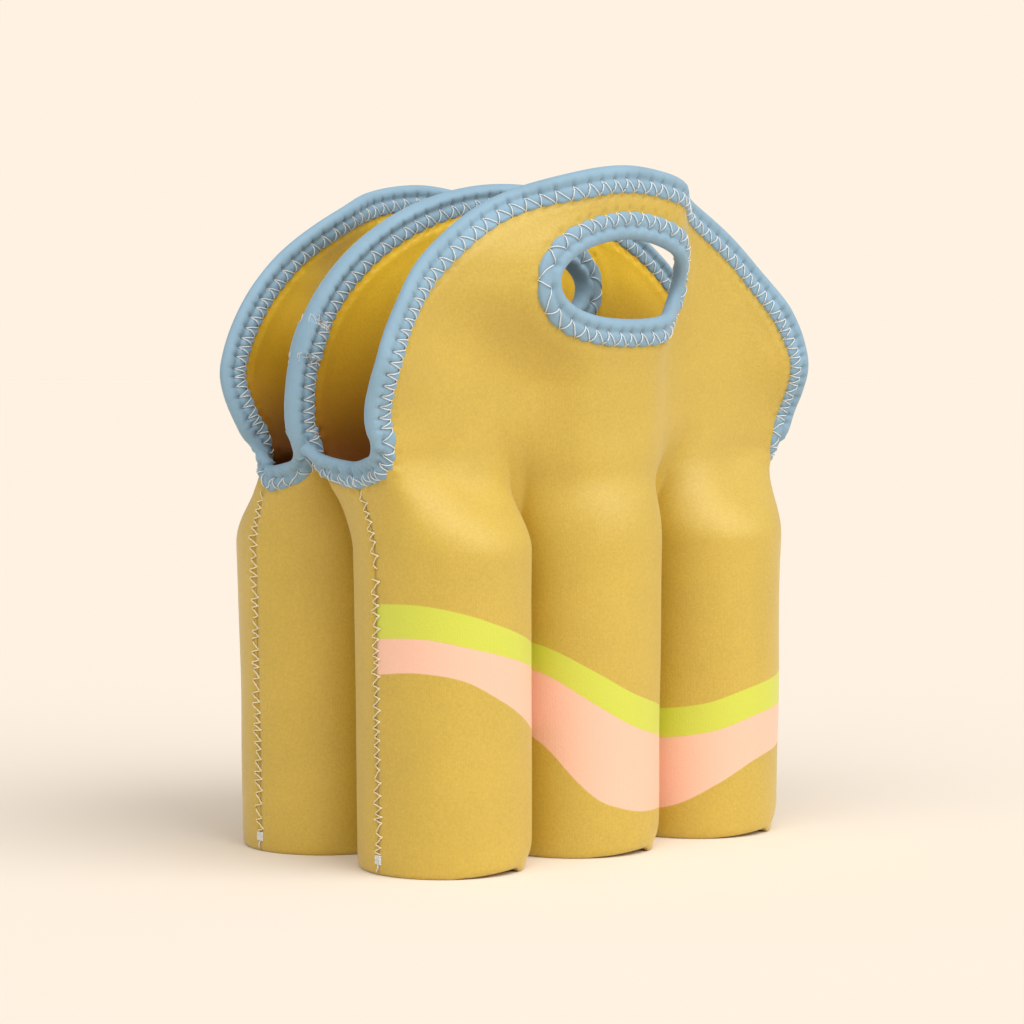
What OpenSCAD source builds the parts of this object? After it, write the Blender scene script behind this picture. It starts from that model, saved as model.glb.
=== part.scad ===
/* [Bottles and cloth] */
// Diameter of the bottle that a pocket holds
bottle_d = 61; // [58:0.5:64]
// Thickness of the neoprene sheet
sheet_t = 3; // [2:0.5:4]
// Thickness of the binding tape
tape_t = 1.2; // [0.8:0.1:1.5]
// Gap between a sheet and the tape folded over it
fold_gap = 0.5; // [0.45:0.05:0.7]
// Gap along a sewn seam
seam_gap = 0.05; // [0.02:0.01:0.15]

/* [Pockets] */
// Gap between two neighbouring pockets of one sleeve
pocket_gap = 2.3; // [1:0.1:6]
// Gap between the backs of the two sleeves
sleeve_gap = 5.8; // [4:0.2:12]
// Height where the pockets stop being straight
body_h = 126; // [110:1:135]
// How far the rounded heel of a pocket draws in
heel_in = 2; // [1:0.5:4]
// Height of the rounded heel
heel_h = 5; // [3:0.5:8]
// Height of the bottom of the side mouths
mouth_z = 153; // [148:1:156]

/* [Outer flaps] */
// Height of the line about which an outer flap bends
hinge_z = 160; // [158:1:166]
// Gap across that line
hinge_gap = 0.4; // [0.3:0.05:0.8]
// Half the width of an outer flap
flap_w = 117.5; // [110:0.5:122]
// Height at which an outer flap is widest
flap_z = 183; // [178:1:190]
// Rise of the arch above its widest height
flap_rise = 84.5; // [80:0.5:95]
// Roundness of the arch
flap_power = 1.8; // [1.6:0.05:2.2]
// How far an outer flap draws in at its foot
flap_tuck = 4; // [0:0.5:8]
// Depth of the middle crest of an outer flap, from the centre plane
crest_d = 66.7; // [64:0.1:68]
// Depth of the front flap's hollows
front_hollow_d = 47.5; // [44:0.5:52]
// Depth of the back flap's hollows
back_hollow_d = 40; // [38:0.5:48]
// How far the back flap's crest leans in at its top
back_lean = 10; // [0:0.5:14]
// How far the flap's sides stand out of the hollows
side_swell = 6.5; // [0:0.5:9]

/* [Middle flap] */
// Half the width of the middle flap
middle_w = 115.5; // [108:0.5:120]
// Height at which the middle flap is widest
middle_z = 175; // [170:1:182]
// Rise of the middle arch above that height
middle_rise = 90; // [80:0.5:95]
// How far the middle flap draws in at its foot
middle_tuck = 7; // [0:0.5:9]

/* [Handles and bindings] */
// Half the length of a handle opening
hole_w = 36; // [30:0.5:40]
// Height of the handle opening's widest line
hole_z = 223; // [218:0.5:226]
// Rise of the opening above that line
hole_up = 16; // [12:0.5:18]
// Drop of the opening below that line
hole_down = 14.5; // [10:0.5:16]
// Width of the binding on each face
binding_w = 10.5; // [7:0.5:12]

/* [Hidden] */

cloth = [0.76, 0.6, 0.24];
tape = [0.55, 0.69, 0.78];

// Straight runs of an arc: each half pocket has this many
arc_steps = 10;
// Rows of the two arches, and places along the bindings
flap_steps = 9;
middle_steps = 7;
flap_rings = 40;
middle_rings = 24;
hole_rings = 26;

inner_r = bottle_d / 2;
outer_r = inner_r + sheet_t;
middle_r = inner_r + sheet_t / 2;
pitch = 2 * outer_r + pocket_gap;
row_d = outer_r + sleeve_gap / 2;
arc_len = PI * middle_r;
web_len = pitch - 2 * middle_r;
half_len = 1.5 * arc_len + web_len;
// Place of the outer flap's edge and the middle flap's edge, measured along the sheet
flap_s = half_len - arc_len / arc_steps;
middle_s = half_len - 3 * arc_len / arc_steps;
bead = fold_gap + tape_t + 0.3;
sheet_in = bead + 0.5;
layer_d = sheet_t / 2 + seam_gap;
tuck_run = 20;
tuck_z = 180;
middle_tuck_z = 172;

// The crest's half width at its foot and round the handle, and the heights between which it widens
crest_w = [25, 38];
crest_z = [hinge_z + 20, hole_z + 2];
// Where the flap's sides swell: across, and up (from, full, full, gone)
swell_x = [flap_w - 37.5, flap_w - 5.5];
swell_z = [flap_z - 15, flap_z + 12, flap_z + 29, flap_z + 57];
// The two outer flaps: depth of the hollows and lean of the crest
front_form = [front_hollow_d, 0];
back_form = [back_hollow_d, back_lean];

function mix(a, b, w) = a + (b - a) * w;
function ease(a, b, v) = let (u = min(1, max(0, (v - a) / (b - a)))) u * u * (3 - 2 * u);
function unit(v) = v / norm(v);

// Pocket section. s runs along the sheet from the left seam to the right, 0 in the middle
function pocket_of(s) = s < -arc_len / 2 - web_len / 2 ? -1 : s > arc_len / 2 + web_len / 2 ? 1 : 0;
function turn_of(s) =
  let (own = s - pocket_of(s) * (arc_len + web_len))
  min(180, max(0, 90 + own / arc_len * 180));
function pocket_point(s, r, lift) =
  let (a = turn_of(s), end = abs(abs(s) - half_len) < 0.01)
  [pocket_of(s) * pitch - r * cos(a), max(end ? seam_gap : lift, r * sin(a))];

// Half the width of an arch at height z
function arch_w(z, w, mid_z, rise, power, tuck, foot_z) =
  z > mid_z ? w * pow(max(0, 1 - pow((z - mid_z) / rise, power)), 1 / power)
  : w - tuck * pow(max(0, foot_z - z) / tuck_run, 2);
function flap_half(z, inset) =
  arch_w(z, flap_w - inset, flap_z, flap_rise - inset, flap_power, flap_tuck, tuck_z);
function middle_half(z, inset) =
  arch_w(z, middle_w - inset, middle_z, middle_rise - inset, 2, middle_tuck, middle_tuck_z);

// Middle surface of an outer flap: hollows, a crest between them and swelling sides
function crest_share(x, z) =
  let (w = ease(crest_z[0], crest_z[1], z))
  1 / (1 + pow(abs(x) / mix(crest_w[0], crest_w[1], w), mix(3.5, 5, w)));
function flap_depth(x, z, form) =
  let (rise = ease(swell_z[0], swell_z[1], z) * (1 - ease(swell_z[2], swell_z[3], z)),
    swell = side_swell * ease(swell_x[0], swell_x[1], abs(x)) * rise,
    low = form[0] + swell,
    top = crest_d - form[1] * ease(hinge_z, flap_z + flap_rise, z))
  low + (top - low) * crest_share(x, z);
function flap_mid(x, z, form) = [x, flap_depth(x, z, form), z];
function flap_normal(x, z, form) =
  let (e = 0.5)
  unit([flap_depth(x - e, z, form) - flap_depth(x + e, z, form), 2 * e,
    flap_depth(x, z - e, form) - flap_depth(x, z + e, form)]);
function flap_skin(x, z, off, form) = flap_mid(x, z, form) + off * flap_normal(x, z, form);

// A sheet from the pockets up. off is 0.5 on its outward face and -0.5 on its inward one.
// Below the bending line both sheets turn a corner at a flap's edge, where their faces are mitred
function rising(z) = ease(body_h, hinge_z, z);
function mitre(z) = sheet_t * (1 - ease(mouth_z, hinge_z, z));
function side_of(s) = s < 0 ? -1 : 1;
function wall_skin(s, z, off, form) =
  let (low = pocket_point(s, middle_r + off * sheet_t, (off + 0.5) * sheet_t + seam_gap),
    high = flap_skin(flap_half(hinge_z, sheet_in) * s / flap_s, hinge_z, off * sheet_t, form),
    corner = abs(abs(s) - flap_s) < 0.01 ? side_of(s) * off * mitre(z) : 0,
    w = abs(s) > flap_s + 0.01 ? 0 : rising(z))
  [mix(low[0], high[0] + corner, w), mix(row_d + low[1], high[1], w), z];
function inner_skin(s, z, off) =
  let (low = pocket_point(s, middle_r - off * sheet_t, (0.5 - off) * sheet_t + seam_gap),
    way = (abs(s) - middle_s) / (half_len - middle_s),
    edge = middle_half(max(z, hinge_z), sheet_in),
    turned = way > -0.001,
    high_x = turned ? side_of(s) * (mix(edge, pitch + middle_r, max(0, way)) - off * (way > 0.001 ? sheet_t : mitre(z)))
      : edge * s / middle_s,
    high_d = way > 0.001 ? mix(layer_d, row_d, way) : layer_d + off * sheet_t,
    w = abs(s) > half_len - 0.01 ? 0 : rising(z))
  [mix(low[0], high_x, w), mix(row_d - low[1], high_d, w), z];

// Places along a sheet: the ends of every straight run of the three arcs
run_places = [for (i = [-1:1]) for (k = [0:arc_steps])
  i * (arc_len + web_len) + (k / arc_steps - 0.5) * arc_len];
last_run = len(run_places) - 1;

// The rounded heel: how far each row draws in, and its height on the outward and the inward face
heel_rows = [[1, 0, 0.15], [0.25, 0.4, 0.5], [0, 1, 1]];
function heel_point(s, row, off, dir) =
  let (r = middle_r + dir * off * sheet_t - heel_in * row[0],
    lift = (0.5 + dir * off) * sheet_t + seam_gap,
    p = pocket_point(s, r, lift),
    z = dir * off > 0 ? heel_h * row[1] : sheet_t + heel_h * row[2] / 2)
  [p[0], row_d + dir * p[1], z];
function floor_point(s, off, dir) =
  let (r = middle_r - 2 * heel_in - sheet_t / 2,
    p = pocket_point(s, r, 0))
  [p[0], row_d + dir * seam_gap, dir * off > 0 ? 0 : sheet_t];
function foot_rows(off, dir) = concat(
  [[for (s = run_places) floor_point(s, off, dir)]],
  [for (row = heel_rows) [for (s = run_places) heel_point(s, row, off, dir)]]);

shoulder_z = [for (k = [0:4]) mix(body_h, mouth_z, k / 4)];
wall_z = concat(shoulder_z, [hinge_z - hinge_gap / 2]);
function arch_z(mid_z, rise, power, steps) =
  [for (k = [1:steps]) mid_z + rise * pow(sin(90 * k / (steps + 0.45)), 2 / power)];
middle_rows = concat(shoulder_z, [hinge_z, mix(hinge_z, middle_z, 0.5), middle_z],
  arch_z(middle_z, middle_rise - sheet_in, 2, middle_steps));
flap_rows = concat([hinge_z + hinge_gap / 2, mix(hinge_z, flap_z, 0.33), mix(hinge_z, flap_z, 0.67), flap_z],
  arch_z(flap_z, flap_rise - sheet_in, flap_power, flap_steps));

// Which way a square is cut in two: mirrored left and right, and the other way along the first row,
// where a floor's corner has three points on one line
function falling(q, half) = q[0] == 0 ? q[1] >= half : q[1] < half;

// A closed sheet between two grids of points. Squares outside the kept ones are left out
module sheet_solid(face, back, kept) {
  rows = len(face);
  cols = len(face[0]);
  back_0 = rows * cols;
  points = concat([for (row = face) for (p = row) p], [for (row = back) for (p = row) p]);
  used = [for (r = [0:rows - 2]) [for (c = [0:cols - 2]) kept[r][0] <= c && c < kept[r][1]]];
  squares = [for (r = [0:rows - 2]) for (c = [0:cols - 2]) if (used[r][c]) [r, c]];
  strips = concat(
    [for (q = squares) if (q[0] == 0 || !used[q[0] - 1][q[1]]) [[q[0], q[1] + 1], [q[0], q[1]]]],
    [for (q = squares) if (q[0] == rows - 2 || !used[q[0] + 1][q[1]])
      [[q[0] + 1, q[1]], [q[0] + 1, q[1] + 1]]],
    [for (q = squares) if (q[1] == 0 || !used[q[0]][q[1] - 1]) [[q[0], q[1]], [q[0] + 1, q[1]]]],
    [for (q = squares) if (q[1] == cols - 2 || !used[q[0]][q[1] + 1])
      [[q[0] + 1, q[1] + 1], [q[0], q[1] + 1]]]);
  half = (cols - 1) / 2;
  faces = concat(
    [for (q = squares) let (a = q[0] * cols + q[1], b = a + cols)
      each falling(q, half) ? [[a, a + 1, b], [a + 1, b + 1, b]] : [[a, a + 1, b + 1], [a, b + 1, b]]],
    [for (q = squares) let (a = back_0 + q[0] * cols + q[1], b = a + cols)
      each falling(q, half) ? [[a, b, a + 1], [a + 1, b, b + 1]] : [[a, b + 1, a + 1], [a, b, b + 1]]],
    [for (e = strips) let (a = e[0][0] * cols + e[0][1], b = e[1][0] * cols + e[1][1])
      each [[a, b, back_0 + b], [a, back_0 + b, back_0 + a]]]);
  polyhedron(points, faces, convexity = 10);
}

// A bar with the given rings of points, open at its ends or closed on itself
module ring_solid(rings, closed) {
  n = len(rings);
  m = len(rings[0]);
  points = [for (ring = rings) for (p = ring) p];
  sides = [for (i = [0:n - (closed ? 1 : 2)]) for (k = [0:m - 1])
    let (j = (i + 1) % n, l = (k + 1) % m)
    each [[i * m + k, j * m + l, i * m + l], [i * m + k, j * m + k, j * m + l]]];
  cap = fold_cap((m - 6) / 4);
  last = (n - 1) * m;
  caps = closed ? [] : concat(cap, [for (t = cap) [last + t[2], last + t[1], last + t[0]]]);
  polyhedron(points, concat(sides, caps), convexity = 10);
}

// Section of a binding folded over an edge: distance in from the edge, and offset from the sheet
function fold_section(half_t, legs = [1]) =
  let (inside = half_t + fold_gap, outside = inside + tape_t, out = len(legs) - 1)
  concat([for (u = legs) [bead + u * (binding_w - bead), inside]],
    [for (k = [out:-1:0]) [bead + legs[k] * (binding_w - bead), outside]],
    [[1.5, outside], [0, 0.35 * outside], [0, -0.35 * outside], [1.5, -outside]],
    [for (u = legs) [bead + u * (binding_w - bead), -outside]],
    [for (k = [out:-1:0]) [bead + legs[k] * (binding_w - bead), -inside]],
    [[bead - 0.25, -inside], [bead - 0.25, inside]]);
// Triangles across that section: the leg on one side, the nose, the leg on the other side
function fold_cap(legs) =
  let (nose = 2 * legs, far = nose + 4, root = 4 * legs + 4,
    squares = concat([[0, nose - 1, nose, root + 1], [root + 1, nose + 1, nose + 2, root],
      [root, nose + 3, far, root - 1]],
      [for (k = [1:1:legs - 1]) each [[k - 1, k, nose - 1 - k, nose - k],
        [root - k, far + k - 1, far + k, root - 1 - k]]]))
  concat([[root + 1, nose, nose + 1], [root, nose + 2, nose + 3]],
    [for (q = squares) each [[q[0], q[1], q[2]], [q[0], q[2], q[3]]]]);

// Edge lines as [x, z], from the left foot over the top to the right foot
function arch_line(w, mid_z, rise, power, tuck, foot_z, steps) =
  let (feet = [for (z = [hinge_z + hinge_gap, mix(hinge_z, mid_z, 0.35), mix(hinge_z, mid_z, 0.7)])
    [arch_w(z, w, mid_z, rise, power, tuck, foot_z), z]])
  concat([for (p = feet) [-p[0], p[1]]],
    [for (k = [0:steps]) let (a = 180 * (1 - k / steps), c = cos(a), v = sin(a))
      [w * sign(c) * pow(abs(c), 2 / power), mid_z + rise * pow(abs(v), 2 / power)]],
    [for (k = [2:-1:0]) feet[k]]);
hole_line = [for (k = [0:hole_rings - 1])
  let (a = 360 * k / hole_rings, c = cos(a), v = sin(a), p = v > 0 ? 1.8 : 2.3)
  [hole_w * sign(c) * pow(abs(c), 2 / p), hole_z + (v > 0 ? hole_up : -hole_down) * pow(abs(v), 2 / p)]];
// Direction into the cloth at each place of an edge line
function inward(line, closed) =
  [for (i = [0:len(line) - 1])
    let (n = len(line),
      a = closed ? line[(i + n - 1) % n] : line[max(0, i - 1)],
      b = closed ? line[(i + 1) % n] : line[min(n - 1, i + 1)],
      t = unit(b - a))
    [t[1], -t[0]]];

function outer_rings(line, closed, form, legs) =
  let (dirs = inward(line, closed))
  [for (i = [0:len(line) - 1]) [for (p = fold_section(sheet_t / 2, legs))
    let (q = line[i] + p[0] * dirs[i]) flap_skin(q[0], q[1], p[1], form)]];
function layer_rings(line, closed) =
  let (dirs = inward(line, closed))
  [for (i = [0:len(line) - 1]) [for (p = fold_section(sheet_t + seam_gap))
    let (q = line[i] + p[0] * dirs[i]) [q[0], p[1], q[1]]]];

// Upper end of a handle cut, past every flap
cut_d = row_d + outer_r + 10;
module handle_cut() {
  rotate([90, 0, 0])
    translate([0, 0, -cut_d])
      linear_extrude(cut_d + 10)
        polygon([for (p = grown_hole) p]);
}
hole_dirs = inward(hole_line, true);
grown_hole = [for (i = [0:hole_rings - 1]) hole_line[i] + sheet_in * hole_dirs[i]];

// Mouth binding. Its places are counted in runs from the side seam, along the outer sheet's edge
// to the flap and along the inner sheet's edge to the middle flap
rim_z = mouth_z + bead;
arc_step = arc_len / arc_steps;
outer_places = [0.85, 0.45, 0.04];
inner_places = [0.04, 0.5, 1, 1.5, 2, 2.4, 2.8];
mouth_legs = [(rim_z - shoulder_z[3] - bead) / (binding_w - bead), 1];
// Extra room on each side there, where the sheets curve between their rows
mouth_room = 0.4;
function edge_skin(k, z, off, form) =
  form == undef ? inner_skin(half_len - k * arc_step, z, -off) : wall_skin(half_len - k * arc_step, z, off, form);
function edge_point(k, z, off, form) =
  let (a = floor(k), b = ceil(k))
  mix(edge_skin(a, z, off, form), edge_skin(b, z, off, form), k - a);
function mouth_ring(k, form) =
  [for (p = fold_section(sheet_t / 2 + mouth_room, mouth_legs))
    let (z = rim_z - p[0],
      outer = edge_point(k, z, 0.5, form),
      inner = edge_point(k, z, -0.5, form))
    (outer + inner) / 2 + (outer - inner) * p[1] / sheet_t];

module outer_wall(form) {
  face = concat(foot_rows(0.5, 1), [for (z = wall_z) [for (s = run_places) wall_skin(s, z, 0.5, form)]]);
  back = concat(foot_rows(-0.5, 1), [for (z = wall_z) [for (s = run_places) wall_skin(s, z, -0.5, form)]]);
  rows = len(face);
  kept = [for (r = [0:rows - 2]) r == rows - 2 ? [1, last_run - 1] : [0, last_run]];
  sheet_solid(face, back, kept);
}

module inner_wall() {
  face = concat(foot_rows(0.5, -1), [for (z = middle_rows) [for (s = run_places) inner_skin(s, z, 0.5)]]);
  back = concat(foot_rows(-0.5, -1), [for (z = middle_rows) [for (s = run_places) inner_skin(s, z, -0.5)]]);
  rows = len(face);
  full = 3 + len(shoulder_z);
  kept = [for (r = [0:rows - 2]) r >= full ? [3, last_run - 3] : [0, last_run]];
  difference() {
    sheet_solid(face, back, kept);
    handle_cut();
  }
}

module outer_flap(form) {
  across = [for (k = [-12:12]) let (u = k / 12) sign(u) * (0.75 * abs(u) + 0.25 * u * u)];
  face = [for (z = flap_rows) [for (u = across) flap_skin(u * flap_half(z, sheet_in), z, sheet_t / 2, form)]];
  back = [for (z = flap_rows) [for (u = across) flap_skin(u * flap_half(z, sheet_in), z, -sheet_t / 2, form)]];
  difference() {
    sheet_solid(face, back, [for (r = flap_rows) [0, len(across) - 1]]);
    handle_cut();
  }
}

module outer_edge_binding(form) {
  line = arch_line(flap_w, flap_z, flap_rise, flap_power, flap_tuck, tuck_z, flap_rings);
  ring_solid(outer_rings(line, false, form, [1]), false);
}

module outer_handle_binding(form) {
  ring_solid(outer_rings(hole_line, true, form, [0.5, 1]), true);
}

module mouth_binding(form) {
  ring_solid(concat([for (k = outer_places) mouth_ring(k, form)],
    [for (k = inner_places) mouth_ring(k, undef)]), false);
}

module front() {
  mirror([0, 1, 0]) children();
}

module left() {
  mirror([1, 0, 0]) children();
}

module front_pocket_wall() {
  color(cloth) front() outer_wall(front_form);
}

module back_pocket_wall() {
  color(cloth) outer_wall(back_form);
}

module front_inner_panel() {
  color(cloth) front() inner_wall();
}

module back_inner_panel() {
  color(cloth) inner_wall();
}

module front_handle_flap() {
  color(cloth) front() outer_flap(front_form);
}

module back_handle_flap() {
  color(cloth) outer_flap(back_form);
}

module front_edge_binding() {
  color(tape) front() outer_edge_binding(front_form);
}

module back_edge_binding() {
  color(tape) outer_edge_binding(back_form);
}

module middle_edge_binding() {
  line = arch_line(middle_w, middle_z, middle_rise, 2, middle_tuck, middle_tuck_z, middle_rings);
  color(tape) ring_solid(layer_rings(line, false), false);
}

module front_handle_binding() {
  color(tape) front() outer_handle_binding(front_form);
}

module back_handle_binding() {
  color(tape) outer_handle_binding(back_form);
}

module middle_handle_binding() {
  color(tape) ring_solid(layer_rings(hole_line, true), true);
}

module front_left_mouth_binding() {
  color(tape) front() left() mouth_binding(front_form);
}

module front_right_mouth_binding() {
  color(tape) front() mouth_binding(front_form);
}

module back_left_mouth_binding() {
  color(tape) left() mouth_binding(back_form);
}

module back_right_mouth_binding() {
  color(tape) mouth_binding(back_form);
}

front_pocket_wall();
back_pocket_wall();
front_inner_panel();
back_inner_panel();
front_handle_flap();
back_handle_flap();
front_edge_binding();
middle_edge_binding();
back_edge_binding();
front_handle_binding();
middle_handle_binding();
back_handle_binding();
front_left_mouth_binding();
front_right_mouth_binding();
back_left_mouth_binding();
back_right_mouth_binding();
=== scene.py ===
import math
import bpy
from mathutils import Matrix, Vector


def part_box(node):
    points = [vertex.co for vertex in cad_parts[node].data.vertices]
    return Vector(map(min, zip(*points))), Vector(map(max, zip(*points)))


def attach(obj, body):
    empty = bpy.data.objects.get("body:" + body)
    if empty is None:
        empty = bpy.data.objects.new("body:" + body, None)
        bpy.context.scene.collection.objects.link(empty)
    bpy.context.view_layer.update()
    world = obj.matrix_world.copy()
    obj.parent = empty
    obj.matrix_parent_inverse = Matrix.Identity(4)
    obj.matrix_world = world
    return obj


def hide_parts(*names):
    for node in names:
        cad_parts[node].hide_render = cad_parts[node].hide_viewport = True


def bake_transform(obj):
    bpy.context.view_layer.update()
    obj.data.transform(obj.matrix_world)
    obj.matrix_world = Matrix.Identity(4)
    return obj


bl_info = {
    "name": "Six pack carrier",
    "version": (1, 0, 0),
    "blender": (4, 5, 0),
    "location": "View3D > Sidebar > Carrier",
    "description": "Builds a soft bottle carrier: neoprene sleeves, stretch bindings and zigzag seams",
    "category": "Add Mesh",
}

import bpy
import numpy as np
from bpy.props import FloatProperty, FloatVectorProperty, IntProperty, PointerProperty
from mathutils import Vector

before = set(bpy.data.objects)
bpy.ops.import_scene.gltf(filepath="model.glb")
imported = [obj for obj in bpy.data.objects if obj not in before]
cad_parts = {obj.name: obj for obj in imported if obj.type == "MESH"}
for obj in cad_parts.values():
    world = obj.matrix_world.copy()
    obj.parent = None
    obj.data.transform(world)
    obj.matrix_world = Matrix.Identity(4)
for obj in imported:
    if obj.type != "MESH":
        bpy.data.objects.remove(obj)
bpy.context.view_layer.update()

MM = 0.001
FLAP_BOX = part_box("front_edge_binding")
MIDDLE_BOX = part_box("middle_edge_binding")
WALL_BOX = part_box("back_pocket_wall")


def length(name, description, default):
    """A size property in metres."""
    return FloatProperty(name=name, description=description, default=default, min=0.0, precision=5,
                         unit="LENGTH")


def colour(name, description, default):
    """A linear colour property."""
    return FloatVectorProperty(name=name, description=description, default=default, size=3,
                               min=0.0, max=1.0, subtype="COLOR")


class CarrierSizes(bpy.types.PropertyGroup):
    sheet: length("Sheet", "Thickness of the neoprene", 0.003)
    bottle: length("Bottle", "Diameter of the bottle that a pocket holds", 0.061)
    pocket_gap: length("Pocket gap", "Gap between two pockets of one sleeve", 0.0023)
    body: length("Body height", "Height where the pockets stop being straight", 0.126)
    mouth: length("Mouth height", "Height of the cloth's edge in the side mouths", 0.1545)
    flap_half: length("Flap half width", "Half the width of an outer flap", FLAP_BOX[1].x)
    flap_top: length("Flap top", "Height of an outer flap", FLAP_BOX[1].z)
    middle_half: length("Middle half width", "Half the width of the middle flap", MIDDLE_BOX[1].x)
    middle_top: length("Middle top", "Height of the middle flap", MIDDLE_BOX[1].z)
    tape: length("Tape width", "Width of the binding on each face", 0.0105)
    stitch: length("Stitch", "Length of one zigzag stitch on the bindings", 0.0056)
    seam_stitch: length("Seam stitch", "Length of one stitch of the side seams", 0.0039)
    thread: length("Thread", "Diameter of the sewing thread", 0.00044)
    cloth_step: length("Cloth step", "Spacing of the points across a sheet", 0.0017)
    tape_step: length("Tape step", "Spacing of the points along a binding", 0.0006)
    seed: IntProperty(name="Seed", description="Seed of the small irregularities", default=7)


class CarrierColours(bpy.types.PropertyGroup):
    mustard: colour("Mustard", "Outer face of the neoprene", (0.590, 0.405, 0.050))
    yellow: colour("Yellow", "Inner face of the neoprene", (0.90, 0.56, 0.010))
    blue: colour("Blue", "Binding tape", (0.245, 0.395, 0.52))
    thread: colour("Thread", "Sewing thread", (0.80, 0.83, 0.84))
    seam_thread: colour("Seam thread", "Thread of the side seams", (0.86, 0.76, 0.50))
    lime: colour("Lime", "Upper band of the wave", (0.64, 0.68, 0.060))
    peach: colour("Peach", "Lower band of the wave", (0.93, 0.55, 0.40))
    backdrop: colour("Backdrop", "What the floor and the backdrop look like", (1.0, 0.887, 0.76))


def ease(a, b, v):
    """A smooth step from 0 at a to 1 at b."""
    u = np.clip((v - a) / (b - a), 0.0, 1.0)
    return u * u * (3.0 - 2.0 * u)


def mix(a, b, w):
    """From a to b by a share w."""
    return a + (b - a) * w


def bell(v, width):
    """A smooth bump of height 1 at v = 0."""
    return np.exp(-(v / width) ** 2)


def unit(v):
    """Vectors scaled to length 1."""
    return v / np.maximum(np.linalg.norm(v, axis=-1, keepdims=True), 1e-9)


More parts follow.
